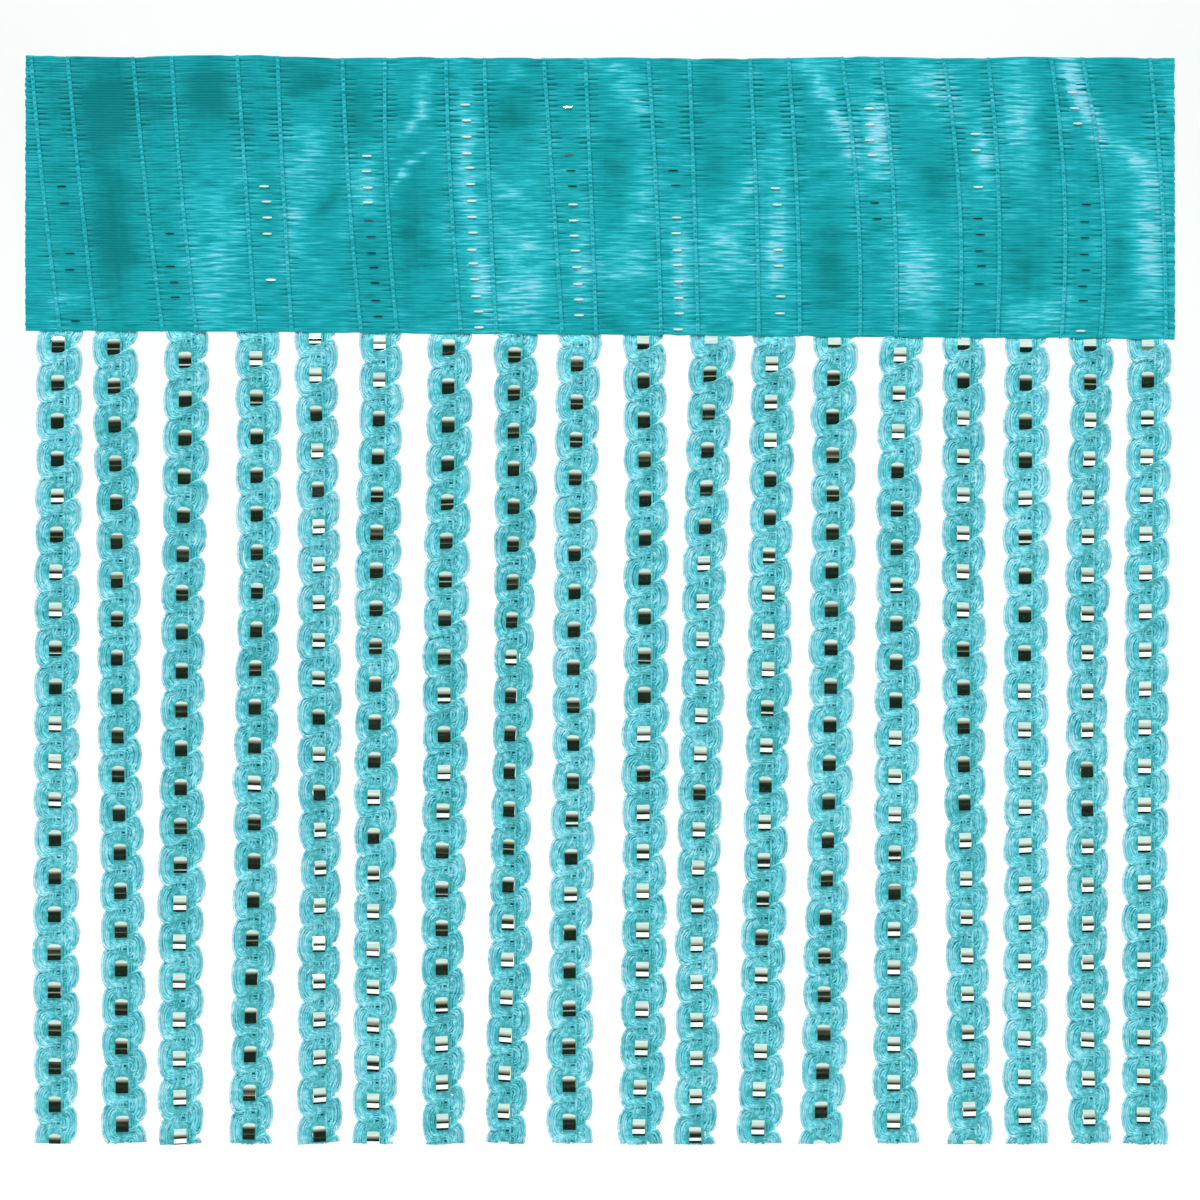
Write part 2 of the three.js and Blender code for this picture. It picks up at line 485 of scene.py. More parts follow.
ground = Look("ground")
thread = ground.noise(ground.place("Object", GROUND_GRAIN))
ground.set(
    Base_Color=ground.blend(thread.within(0.3, 0.7), GROUND_DEEP, GROUND_LIGHT),
    Roughness=mix(0.45, 0.65, thread.within(0.2, 0.8)),
    Normal=ground.bump(thread, GROUND_BUMP, 0.6),
    Specular_IOR_Level=0.1,
)

# %% The foil
FOIL_GRAIN = (150.0, 150.0, 2500.0)
FOIL_BUMP = 0.002 * MM
FOIL_BRIGHT = colour(0.86, 0.92, 0.87)
FOIL_DULL = colour(0.70, 0.79, 0.74)

foil = Look("foil")
crinkle = foil.noise(foil.place("Object", FOIL_GRAIN), detail=1.0)
foil.set(
    Base_Color=foil.blend(crinkle.within(0.3, 0.7), FOIL_DULL, FOIL_BRIGHT),
    Roughness=mix(0.08, 0.13, crinkle.within(0.3, 0.7)),
    Normal=foil.bump(crinkle, FOIL_BUMP, 0.5),
    Metallic=1.0,
)

# %% [markdown]
# ## The heading's cloth
# The band is one cloth. A grid is added flat, its points are moved onto the cloth's surface,
# and Solidify gives it thickness. Its colour is darker than the yarns', as painted shade, and
# it shows, like small teeth, between the yarns that are laid through it.

# %% The ground of the band
GROUND_COLUMNS, GROUND_ROWS = 120, 20
GROUND_THICKNESS = 0.04 * MM
GROUND_INSET = 0.12 * MM
GROUND_SHARP = math.radians(40)

select_only()
bpy.ops.mesh.primitive_grid_add(x_subdivisions=GROUND_COLUMNS, y_subdivisions=GROUND_ROWS, size=1)
heading_cloth = named("heading_cloth")
flat = points_of(heading_cloth)
ground_x = flat[:, 0] * (CLOTH_WIDTH - 2 * GROUND_INSET)
inset_share = GROUND_INSET / DROP_LEFT
ground_depth = depth_at(ground_x, mix(inset_share, 1 - inset_share, 0.5 - flat[:, 1]))
move_points(heading_cloth, on_cloth(ground_x, ground_depth, 0.0))
add_modifier(heading_cloth, "SOLIDIFY", thickness=GROUND_THICKNESS, offset=0.0)
finish_modifiers(heading_cloth)
bpy.ops.object.shade_smooth_by_angle(angle=GROUND_SHARP)
ground.dress(heading_cloth)
print("ground:", triangles_of(heading_cloth), "triangles")

# %% [markdown]
# ## The laid yarns of the band
# Across the ground run fine yarns, nearly level, two to each stitch of the chains. The
# chains grip them in pairs, so dark gaps like small teeth open beside a chain, and midway
# between two chains the yarns lie evenly again. Each yarn is one line of points, swept
# with a round section, then pressed flatter and moved onto the cloth. A drawn curve suits
# a long thin yarn better than a primitive would.

# %% Yarns swept along lines of points
MERGE_DISTANCE = 0.001 * MM


def sweep(name, lines, radius, twist="Z_UP"):
    """A mesh of round, closed yarns, one for each line of points."""
    drawn = bpy.data.curves.new(name, "CURVE")
    drawn.dimensions = "3D"
    drawn.bevel_depth = radius
    drawn.bevel_resolution = 0
    drawn.use_fill_caps = True
    drawn.twist_mode = twist
    for line in lines:
        spline = drawn.splines.new("POLY")
        spline.points.add(len(line) - 1)
        spline.points.foreach_set("co", np.c_[line, np.ones(len(line))].ravel())
        spline.use_smooth = True
    yarns = bpy.data.objects.new(name, drawn)
    bpy.context.scene.collection.objects.link(yarns)
    select_only(yarns)
    bpy.ops.object.convert(target="MESH")
    bpy.ops.object.mode_set(mode="EDIT")
    bpy.ops.mesh.select_all(action="SELECT")
    bpy.ops.mesh.remove_doubles(threshold=MERGE_DISTANCE)
    bpy.ops.object.mode_set(mode="OBJECT")
    return bpy.context.object


# %% Where the chains grip the laid yarns
CHAIN_STITCHES = 52
YARNS_PER_STITCH = 2
LAID_ROWS = CHAIN_STITCHES * YARNS_PER_STITCH
LAID_RADIUS = 0.275 * MM
GAP_FLATNESS, COMB_FLATNESS = 0.16, 0.38
LAID_FORWARD = 0.06 * MM
# A yarn's steps past a chain, left to right: how far each is from it in mm, and its pull.
GRIP_STEPS = ((-2.4, 0.1), (-1.5, 0.85), (-0.5, 0.9), (0.5, 0.9), (1.5, 0.85), (2.4, 0.1))
END_PULL = 0.1
WIDE_GAP, NARROW_GAP = 2.2 * MM, 0.3 * MM
COMB_REACH = 1.5 * MM
GRIP_EVERYWHERE, GRIP_UPPER, GRIP_PATCHY = 0.5, 0.55, 0.2
GRIP_STRONGEST = 1.2
UPPER_STARTS, UPPER_ENDS = (2 * MM, 5 * MM), (13 * MM, 17 * MM)
# The waves of the patchy part, in radians for each mm.
PATCH_ACROSS, PATCH_DOWN, PATCH_SLANT = 0.31, 0.23, 0.05
PATCH_START = 1.0
BAND_SEED = 11

chance = np.random.default_rng(BAND_SEED)
# One grip for each stitch of each chain, on its left and on its right.
grip_chance = chance.uniform(0, GRIP_STRONGEST, (CHAIN_STITCHES, len(CHAINS), 2))


def grip_at(x, depth):
    """How tightly the chains pull the yarns together: most in the upper part of the band."""
    upper = smooth_step(depth, *UPPER_STARTS) * (1 - smooth_step(depth, *UPPER_ENDS))
    wave_across = np.sin(x / MM * PATCH_ACROSS + PATCH_START)
    wave_down = np.sin(depth / MM * PATCH_DOWN + x / MM * PATCH_SLANT)
    patchy = 0.5 + 0.5 * wave_across * wave_down
    return GRIP_EVERYWHERE + GRIP_UPPER * upper + GRIP_PATCHY * patchy


# %% One laid yarn
CUT_UNEVEN, STEP_UNEVEN = 0.08 * MM, 0.22 * MM
SLANT_KNOTS, SLANT_SIZE, SLANT_HELD = 40, 0.035 * MM, 0.7
EDGE_MARGIN = 0.1 * MM
FORWARD_UNEVEN, FREE_SHARE = 0.05 * MM, 0.3


def laid_line(row):
    """One yarn's points, from the left cut of the band to the right one."""
    share = (row + 0.5) / LAID_ROWS
    stitch = row // YARNS_PER_STITCH
    bunch = (stitch + 0.5) / CHAIN_STITCHES
    xs, pull = [-CLOTH_WIDTH / 2 + chance.uniform(-CUT_UNEVEN, CUT_UNEVEN)], [END_PULL]
    for index in range(len(CHAINS)):
        at = float(chain_x(index, share))
        for step, (offset, strength) in enumerate(GRIP_STEPS):
            x = at + offset * MM
            wide, before = int((x - xs[-1]) // WIDE_GAP), xs[-1]
            for between in range(wide):
                xs.append(mix(before, x, (between + 1) / (wide + 1)))
                pull.append(0.0)
            if xs[-1] + NARROW_GAP < x < CLOTH_WIDTH / 2 - NARROW_GAP:
                xs.append(x)
                side = step // (len(GRIP_STEPS) // 2)
                pull.append(strength * grip_chance[stitch, index, side])
    xs.append(CLOTH_WIDTH / 2 + chance.uniform(-CUT_UNEVEN, CUT_UNEVEN))
    pull.append(END_PULL)
    xs, pull = np.array(xs), np.array(pull)
    xs[1:-1] += chance.uniform(-STEP_UNEVEN, STEP_UNEVEN, len(xs) - 2)
    level, gathered = depth_at(xs, share), depth_at(xs, bunch)
    knots = np.linspace(xs[0], xs[-1], SLANT_KNOTS)
    slant = np.interp(xs, knots, chance.normal(0, SLANT_SIZE, SLANT_KNOTS))
    grip = np.clip(pull * grip_at(xs, level), 0, 1)
    depth = mix(level, gathered, grip) + slant * (1 - SLANT_HELD * pull)
    depth = np.clip(depth, top_edge(xs) + EDGE_MARGIN, lower_edge(xs) - EDGE_MARGIN)
    forward = chance.normal(0, FORWARD_UNEVEN, len(xs)) * mix(FREE_SHARE, 1, pull)
    return np.stack([xs, -forward, -depth], axis=-1)


def near_chain(x, depth):
    """1 on a chain, fading to 0 midway between two chains."""
    share = np.clip(depth / lower_edge(x), 0, 1)
    nearest = np.min([np.abs(x - chain_x(index, share)) for index in range(len(CHAINS))], axis=0)
    return np.exp(-((nearest / COMB_REACH) ** 2))


def lay_on_cloth(points):
    """Presses yarns that were swept flat, and moves them onto the cloth's surface."""
    x, y, z = points.T
    flatness = mix(GAP_FLATNESS, COMB_FLATNESS, near_chain(x, -z))
    return on_cloth(x, -z, LAID_FORWARD - y * flatness)


# %% [markdown]
# Where the band catches the light, and where it lies in shade, is painted into the colour of
# its yarns by a number noted on their points. It is positive for painted sheen over a ridge
# and negative for painted shade in a hollow. The table names each of those places.

# %% Painted sheen and painted shade of the band
# x, depth, half-width, half-drop in mm, lean to the right going down, painted sheen (painted shade
# where negative)
PAINTED_LIGHT = (
    (-88.6, 28.0, 2.4, 14.0, 0.0, 0.15),
    (-83.0, 38.0, 3.0, 1.3, 0.0, 0.7),
    (-60.0, 32.0, 3.6, 13.0, 0.02, 0.70),
    (-45.5, 15.5, 3.0, 6.0, 0.0, 0.75),
    (-47.0, 27.0, 2.7, 6.0, 0.0, 0.57),
    (-36.2, 20.0, 1.6, 4.4, 0.0, 1.2),
    (-27.6, 6.2, 0.9, 3.4, -0.1, 1.3),
    (-29.6, 11.2, 0.9, 1.8, -0.7, 1.4),
    (-28.4, 15.8, 0.5, 1.6, -1.2, 1.5),
    (-30.9, 18.4, 0.5, 2.0, -0.7, 1.5),
    (-32.4, 21.0, 0.45, 1.6, -0.4, 0.6),
    (-20.8, 17.0, 1.5, 12.0, 0.02, 1.05),
    (-18.5, 36.0, 1.4, 7.5, 0.1, 0.95),
    (-13.4, 2.7, 1.35, 1.8, -0.5, 0.8),
    (-13.3, 21.5, 3.2, 3.0, 0.0, 0.65),
    (-11.8, 28.9, 3.2, 3.0, 0.0, 0.6),
    (-12.0, 37.0, 3.8, 6.0, 0.0, 1.0),
    (-25.0, 27.5, 2.1, 3.0, 0.0, 0.46),
    (-3.1, 33.0, 1.4, 7.0, 0.0, 0.9),
    (2.6, 2.8, 2.8, 2.6, 0.6, 0.85),
    (5.2, 7.0, 2.6, 2.5, 0.4, 0.75),
    (5.8, 24.0, 2.4, 12.0, 0.0, 0.57),
    (2.5, 33.0, 4.2, 2.6, 0.0, 0.57),
    (12.4, 33.5, 1.35, 9.0, 0.03, 1.1),
    (22.8, 20.5, 1.9, 3.5, -0.3, 0.7),
    (19.9, 31.0, 4.4, 6.5, 0.0, 0.8),
    (27.8, 28.5, 1.5, 13.0, 0.0, 1.1),
    (35.4, 7.2, 1.3, 6.5, 0.55, 1.15),
    (34.0, 1.5, 1.8, 1.5, 0.3, 0.4),
    (38.6, 14.0, 2.25, 6.0, 0.1, 0.57),
    (43.2, 11.5, 1.7, 7.0, 0.02, 1.4),
    (45.0, 17.0, 1.5, 2.5, 0.0, 0.46),
    (52.2, 5.0, 3.2, 4.5, 0.5, 1.0),
    (49.9, 34.5, 3.4, 8.0, 0.1, 1.0),
    (59.5, 15.0, 1.5, 6.5, 0.0, 0.85),
    (65.4, 10.5, 2.6, 9.5, 0.0, 0.95),
    (68.6, 40.6, 4.8, 2.6, 0.0, 0.8),
    (74.8, 6.0, 1.5, 7.0, 0.4, 1.8),
    (83.2, 16.2, 1.8, 3.4, 0.86, 1.05),
    (85.6, 29.0, 3.0, 14.0, 0.0, 0.95),
    (89.3, 5.0, 1.2, 5.0, 0.0, 0.46),
    (-80.0, 20.0, 14.0, 26.0, 0.0, -0.35),
    (-63.0, 6.0, 24.0, 7.0, 0.0, -0.4),
    (-4.0, 3.0, 14.0, 3.5, 0.0, -0.25),
    (-76.6, 7.8, 5.0, 5.5, 0.0, -0.6),
    (-75.8, 29.0, 3.8, 10.5, 0.0, -0.6),
    (-61.0, 7.0, 3.4, 5.0, 0.0, -0.6),
    (-45.0, 3.2, 4.0, 3.2, 0.0, -0.6),
    (-37.5, 10.0, 3.0, 5.0, 0.0, -0.5),
    (-43.0, 23.5, 1.6, 4.5, -0.75, -0.8),
    (-36.0, 33.0, 2.6, 8.0, 0.1, -0.4),
    (-28.8, 27.5, 3.8, 10.0, 0.0, -0.65),
    (-13.3, 9.5, 4.0, 4.0, 0.0, -0.6),
    (2.5, 17.5, 3.6, 6.0, 0.0, -0.5),
    (18.0, 6.0, 3.2, 3.6, 0.0, -0.5),
    (18.0, 17.5, 3.2, 5.0, 0.0, -0.5),
    (36.0, 33.0, 3.5, 9.0, 0.0, -0.65),
    (52.3, 19.5, 3.1, 5.0, 0.0, -0.6),
    (54.0, 42.0, 2.0, 3.0, 0.0, -0.5),
    (0.0, 42.5, 4.0, 2.0, 0.0, -0.5),
    (69.8, 12.0, 1.4, 9.0, 0.0, -0.4),
    (66.4, 33.0, 3.2, 5.0, 0.0, -0.6),
    (83.0, 5.0, 4.0, 4.5, 0.0, -0.5),
    (81.2, 33.0, 2.0, 6.0, 0.0, -0.5),
)
# Painted sheen added beside every chain.
COMB_PAINTED_SHEEN = 0.25


# The painted sheen and shade at each point of the band.
def painted_light_at(points):
    x, depth = points[:, 0], -points[:, 2]
    return bumps(PAINTED_LIGHT, x, depth) + COMB_PAINTED_SHEEN * near_chain(x, depth)


# %% The laid yarns
heading_floats = sweep("heading_floats", [laid_line(row) for row in range(LAID_ROWS)], LAID_RADIUS)
move_points(heading_floats, lay_on_cloth(points_of(heading_floats)))
select_only(heading_floats)
bpy.ops.object.shade_flat()
# The laid yarns carry the painted sheen and shade that their colour reads.
note_on_points(heading_floats, "lustre", painted_light_at(points_of(heading_floats)))
band_yarn.dress(heading_floats)
print("laid yarns:", LAID_ROWS, "rows,", triangles_of(heading_floats), "triangles")

# %% [markdown]
# ## The chains of the band
# A chain is a row of small knitted loops that runs down the band and stands proud of it.
# Two thin yarns that part and meet at every stitch are its loops, and on the back of the
# cloth one yarn zigzags behind each chain and closes it.

# %% The raised chains
CHAIN_STEPS = 5
CHAIN_PINCH, CHAIN_BULGE = 0.07 * MM, 0.08 * MM
CHAIN_RADIUS = 0.23 * MM
CHAIN_FORWARD, CHAIN_WAVE = 0.22 * MM, 0.06 * MM
CHAIN_END = 0.002
# The chains are painted lighter than the band, as painted sheen, plus a share of the band's
# painted sheen and shade.
CHAIN_PAINTED_SHEEN, CHAIN_PAINTED_LIGHT_SHARE = 0.48, 0.3
BACK_SWING, BACK_FORWARD = 0.32 * MM, -0.26 * MM


def share_down(step):
    """How far down the band each step of a chain lies, just short of its edges."""
    return np.clip(step / step[-1], CHAIN_END, 1 - CHAIN_END)


def chain_line(index, side):
    step = np.arange(CHAIN_STITCHES * CHAIN_STEPS + 1)
    share = share_down(step)
    open_share = np.abs(np.sin(np.pi * step / CHAIN_STEPS))
    x = chain_x(index, share) + side * (CHAIN_PINCH + CHAIN_BULGE * open_share)
    forward = CHAIN_FORWARD + CHAIN_WAVE * np.sin(2 * np.pi * step / CHAIN_STEPS)
    return on_cloth(x, depth_at(x, share), forward)


def back_line(index):
    step = np.arange(CHAIN_STITCHES * 2 + 1)
    share = share_down(step)
    x = chain_x(index, share) + np.where(step % 2, BACK_SWING, -BACK_SWING)
    return on_cloth(x, depth_at(x, share), BACK_FORWARD)


chain_lines = [chain_line(index, side) for index in range(len(CHAINS)) for side in (-1, 1)]
chain_lines += [back_line(index) for index in range(len(CHAINS))]
heading_chains = sweep("heading_chains", chain_lines, CHAIN_RADIUS, "MINIMUM")
chain_painted_light = CHAIN_PAINTED_SHEEN + CHAIN_PAINTED_LIGHT_SHARE * painted_light_at(points_of(heading_chains))
note_on_points(heading_chains, "lustre", chain_painted_light)
chain_yarn.dress(heading_chains)
print("chains:", triangles_of(heading_chains), "triangles")

# %% [markdown]
# ## Foil in the band
# The foil runs on up through the band, midway between the two chains of a pair, and glints
# through short slits. Each slit is a little lens of foil. One function makes them all, and
# lays each on the cloth at its own place. One that leans back mirrors the bright ceiling,
# and an upright one mirrors the dim room.

# %% The slits
SLIT_WIDTH, SLIT_PITCH = 1.45 * MM, 2.5 * MM
BRIGHT_DROP, DARK_DROP = 0.33 * MM, 0.21 * MM
SLIT_FORWARD = 0.2 * MM
SLIT_COLUMNS, SLIT_TAPER = 4, 0.4
BRIGHT_LEAN, DARK_LEAN = 22, 0
SIDE_UNEVEN, DEPTH_UNEVEN, LEAN_UNEVEN = 0.12 * MM, 0.1 * MM, 2
LAST_SLIT_SLACK = 0.1 * MM
FOIL_THICKNESS = 0.03 * MM
# pair of chains, first and last depth in mm, lean in degrees
SLIT_RUNS = (
    (1, 20.5, 23.0, DARK_LEAN),
    (1, 31.0, 33.5, DARK_LEAN),
    (1, 41.5, 41.5, DARK_LEAN),
    (2, 28.0, 28.0, DARK_LEAN),
    (2, 33.0, 38.0, DARK_LEAN),
    (3, 20.5, 28.5, BRIGHT_LEAN),
    (3, 35.2, 35.2, BRIGHT_LEAN),
    (4, 15.6, 23.5, BRIGHT_LEAN),
    (4, 25.8, 41.5, DARK_LEAN),
    (5, 7.7, 42.8, BRIGHT_LEAN),
    (6, 8.3, 8.3, BRIGHT_LEAN),
    (6, 15.6, 21.0, DARK_LEAN),
    (6, 23.3, 43.0, BRIGHT_LEAN),
    (7, 18.0, 21.0, DARK_LEAN),
    (7, 25.5, 43.0, BRIGHT_LEAN),
    (8, 20.8, 24.4, BRIGHT_LEAN),
    (8, 30.5, 33.2, BRIGHT_LEAN),
    (8, 37.8, 40.5, BRIGHT_LEAN),
    (9, 8.3, 16.0, BRIGHT_LEAN),
    (9, 23.0, 26.0, DARK_LEAN),
    (10, 12.5, 15.2, BRIGHT_LEAN),
    (10, 20.6, 20.6, BRIGHT_LEAN),
    (10, 25.6, 36.0, DARK_LEAN),
    (11, 5.9, 11.0, BRIGHT_LEAN),
    (11, 23.6, 38.6, DARK_LEAN),
    (11, 43.0, 43.0, BRIGHT_LEAN),
)


def slit(x, depth, lean, drop):
    select_only()
    bpy.ops.mesh.primitive_grid_add(x_subdivisions=SLIT_COLUMNS, y_subdivisions=1, size=1)
    piece = bpy.context.object
    grid = points_of(piece)
    narrow = 1 - (2 * grid[:, 0]) ** 2 * SLIT_TAPER
    down = -grid[:, 1] * drop * narrow
    across = grid[:, 0] * SLIT_WIDTH
    forward = SLIT_FORWARD + np.tan(np.radians(lean)) * down
    move_points(piece, on_cloth(x + across, depth + down, forward))
    return piece


slits = []
for pair, first, last, lean in SLIT_RUNS:
    drop = BRIGHT_DROP if lean == BRIGHT_LEAN else DARK_DROP
    for depth in np.arange(first * MM, last * MM + LAST_SLIT_SLACK, SLIT_PITCH):
        share = depth / DROP_LEFT
        middle = (chain_x(2 * pair - 2, share) + chain_x(2 * pair - 1, share)) / 2
        middle = middle + chance.normal(0, SIDE_UNEVEN)
        place = depth + chance.normal(0, DEPTH_UNEVEN)
        slits.append(slit(middle, place, lean + chance.normal(0, LEAN_UNEVEN), drop))
heading_foil = join_pieces("heading_foil", slits)
add_modifier(heading_foil, "SOLIDIFY", thickness=FOIL_THICKNESS, offset=0.0)
finish_modifiers(heading_foil)
foil.dress(heading_foil)
print("slits:", len(slits), "with", triangles_of(heading_foil), "triangles")

# %% [markdown]
# ## One string, knitted flat on the bench
# A string is knitted flat, so it is modelled flat: X across it, Y along it and Z up out of
# it. In each stitch the yarns swing left round the foil's window and then right round a
# small hole. One yarn's way through a stitch is a closed formula of a phase that runs from
# -180 to 180 degrees, with the window at 0. A yarn that runs wide on the left runs tight on
# the right, and the other way round, so a single number, its lane, tells all yarns apart.

# %% Sizes of a string
STITCH = 6.0 * MM
STITCHES = 24
STRING_REACH = 3.36 * MM
FRONT_LANES = (0.0, 0.17, 0.33, 0.5, 0.67, 0.83, 1.0)
BACK_LANES = (0.1, 0.5, 0.9)
FRONT_STEPS, BACK_STEPS, EDGE_STEPS = 16, 12, 11
YARN_RADIUS = 0.235 * MM


def thin_out(line, steps):
    """Fewer points on a line, closer together where it is long or turns sharply."""
    ways = np.diff(line, axis=0)
    lengths = np.linalg.norm(ways, axis=1)
    bearing = np.unwrap(np.arctan2(ways[:, 1], ways[:, 0]))
    turning = np.abs(np.diff(bearing, append=bearing[-1]))
    cost = lengths / lengths.sum() + turning / turning.sum()
    place = np.concatenate([[0], np.cumsum(cost)])
    wanted = np.linspace(0, place[-1], steps + 1)
    return np.stack([np.interp(wanted, place, line[:, axis]) for axis in range(3)], axis=-1)


# %% A yarn's way through one stitch
PHASE_STEPS = 144
SIDES_MEET = 0.35
FRONT_UP, FRONT_CROSSING_UP, FRONT_TILT = 0.1 * MM, 0.24 * MM, 0.1 * MM
BACK_UP, BACK_CROSSING_UP = -0.12 * MM, -0.26 * MM
# Each pair is for a yarn of lane 0 and one of lane 1, in mm.
LEFT_REACH, RIGHT_REACH = (1.42, 3.42), (3.25, 0.95)
LEFT_BULGE, RIGHT_BULGE = (0.92, 1.05), (1.45, 0.48)
LEAD = (-0.42, 1.25)

phase = np.linspace(-np.pi, np.pi, PHASE_STEPS + 1)


def weft_stitch(lane, back=False):
    """A yarn that swings from edge to edge."""
    left = mix(*LEFT_REACH, lane) * MM
    right = mix(*RIGHT_REACH, lane) * MM
    across = (right - left) / 2 - (left + right) / 2 * np.cos(phase)
    lead = mix(*LEAD, lane) * MM
    on_left = smooth_step(np.cos(phase), -SIDES_MEET, SIDES_MEET)
    bulge = mix(mix(*RIGHT_BULGE, lane), mix(*LEFT_BULGE, lane), on_left) * MM
    along = STITCH * phase / (2 * np.pi) + lead * np.sin(phase) + bulge * np.sin(2 * phase)
    crossing = 1 - np.cos(phase) ** 2
    up = FRONT_UP + FRONT_CROSSING_UP * crossing + FRONT_TILT * np.sin(phase)
    if back:
        up = BACK_UP + BACK_CROSSING_UP * crossing
    return np.stack([across, -along - STITCH / 2, up], axis=-1)


def edge_stitch(at_window, at_hole, lag, window_up, hole_up):
    """A yarn that runs down one side of the windows and of the holes between them."""
    toward_hole = (1 - np.cos(phase)) / 2
    across = mix(at_window, at_hole, toward_hole) * MM
    along = STITCH * phase / (2 * np.pi) + lag * MM * np.sin(2 * phase)
    up = mix(window_up, hole_up, toward_hole) * MM
    return np.stack([across, -along - STITCH / 2, up], axis=-1)


# across at the window and at the hole, lag, height at the window and at the hole, in mm
EDGE_YARNS = (
    (0.86, 0.76, 0.0, 0.34, 0.34),
    (1.24, 1.9, 0.2, 0.34, 0.18),
    (1.63, 2.5, 0.3, 0.26, 0.1),
    (2.02, 3.1, 0.35, 0.18, 0.02),
    (-1.65, -0.16, 0.0, 0.18, 0.34),
    (-1.8, -0.6, 0.0, 0.14, 0.34),
    (-2.0, -1.05, 0.0, 0.1, 0.34),
)
stitch_lines = [thin_out(weft_stitch(lane), FRONT_STEPS) for lane in FRONT_LANES]
stitch_lines += [thin_out(weft_stitch(lane, True), BACK_STEPS) for lane in BACK_LANES]
stitch_lines += [thin_out(edge_stitch(*row), EDGE_STEPS) for row in EDGE_YARNS]
print("one stitch:", len(stitch_lines), "yarns,", sum(len(s) - 1 for s in stitch_lines), "steps")

# %% Where a yarn is pale, and the painted shade round its windows
FOIL_X = -0.3 * MM
# How much paler the edges are, and how much painted shade darkens the yarns round a window.
PALE_AT_EDGE, PAINTED_SHADE_AT_WINDOW = 0.6, 0.4
WINDOW_SHADE_ACROSS, WINDOW_SHADE_ALONG = (1.5 * MM, 2.3 * MM), (1.0 * MM, 1.9 * MM)


def shade_at(points):
    """Paler towards the string's edges, and darker round a window, where the yarns lie tight:
    partly their denser colour and partly painted shade.
    """
    across, along, _ = points.T
    beside = 1 - smooth_step(np.abs(across - FOIL_X), *WINDOW_SHADE_ACROSS)
    level = 1 - smooth_step(np.abs(-along % STITCH - STITCH / 2), *WINDOW_SHADE_ALONG)
    return np.abs(across) / STRING_REACH * PALE_AT_EDGE - beside * level * PAINTED_SHADE_AT_WINDOW


# %% [markdown]
# ## Hanging the strings
# The stitch is repeated down the bench, each time with its yarns a little out of place, as
# in real knitting. The lines are cut to the string's own length and swept, and the finished
# flat string is bent to its own hang. The table gives how far each string stands to the
# right of its regular place at its top, middle and foot, the depth of its first window, how
# much it has stretched, how far it has turned about its own length, and how far its foot
# swings forward. The same bend is used for its foil, so foil and windows stay together.

# %% How the strings hang
STRING_PITCH = 10.0 * MM
ROOT_BURY = 0.35 * MM
ROOT_BACK, ROOT_FLATNESS = 0.18 * MM, 0.25
ROOT_CLEARS = (0.2 * MM, 1.8 * MM)
SETTLE_DROP = 16.0 * MM
RISE_AT_FOOT = 0.5
WINDOWS_ABOVE = 2
WANDER_SEED, WANDER_LENGTH, WANDER_REACH = 1000, 14.0 * MM, 200 * MM
KNOTS_ABOVE = 3
# What wanders down a string: its channel of chance, and how much it wanders.
TILT, TURN, WIDTH = (1, 0.03), (2, 3.0), (3, 0.03)
SIDEWAYS, TONE, STREAK = (4, 0.08 * MM), (5, 0.06), (6, 0.05)
FIRST_YARN_CHANNEL = 10
# A whole string has one tone, which is the value at this depth.
TONE_DEPTH = 50 * MM
# top, middle and foot offset in mm, first window in mm, stretch, turn in degrees, swing in mm
STRINGS = (
    (0.7, 0.2, 0.2, 45.3, 0.988, 6, 0.3),
    (-0.6, 0.0, 0.7, 45.6, 1.012, -4, -0.4),
    (0.6, -0.2, -0.3, 47.7, 1.010, 10, 0.5),
    (1.6, 1.5, 0.5, 47.6, 1.004, -3, 0.1),
    (0.8, 1.2, 1.2, 44.2, 0.987, 24, -0.5),
    (0.9, 0.2, 0.0, 45.0, 0.987, -8, 0.4),
    (1.8, 0.9, 0.5, 45.7, 1.007, 5, 0.7),
    (2.0, 1.5, 0.3, 46.9, 0.985, -20, -0.2),
    (1.9, 0.9, 0.3, 48.3, 0.987, 7, -0.6),
    (2.0, 2.3, 1.3, 44.8, 1.022, -5, 0.3),
    (2.6, 0.8, 0.0, 49.9, 0.989, 9, 0.6),
    (2.2, 1.3, 0.0, 48.4, 0.994, -6, -0.3),
    (1.9, 1.1, -0.3, 50.5, 1.002, 4, 0.2),
    (2.2, 1.5, 1.2, 47.0, 0.997, -10, -0.5),
    (2.1, 2.0, 2.9, 50.9, 0.998, 8, 0.5),
    (1.8, 1.6, 1.6, 51.3, 1.004, -3, 0.2),
    (1.8, 1.2, 1.6, 45.1, 1.008, 11, -0.4),
    (0.9, 0.4, 0.1, 50.8, 1.007, -7, 0.4),
)


def wander(index, channel, size, depth, length=WANDER_LENGTH):
    """A slow random value along a string, the same for its yarns and its foil."""
    dice = np.random.default_rng(WANDER_SEED + index * 100 + channel)
    knots = np.arange(-KNOTS_ABOVE, WANDER_REACH / length) * length
    return np.interp(depth, knots, dice.normal(0, size, len(knots)))


def regular_x(index):
    return (index - (len(STRINGS) - 1) / 2) * STRING_PITCH


def root_depth(index):
    return float(lower_edge(regular_x(index) + STRINGS[index][0] * MM)) - ROOT_BURY


def hung_stitch(index):
    """The length of one stitch once the string hangs."""
    return STITCH * STRINGS[index][4]


def bench_start(index):
    """The depth at which the bench's zero hangs, two windows above the first one."""
    return STRINGS[index][3] * MM - (WINDOWS_ABOVE + 0.5) * hung_stitch(index)


def bench_length(index):
    """The stretch of the bench between a string's root and its cut end."""
    ends = np.array((root_depth(index), TOTAL_DROP)) - bench_start(index)
    return ends / STRINGS[index][4]


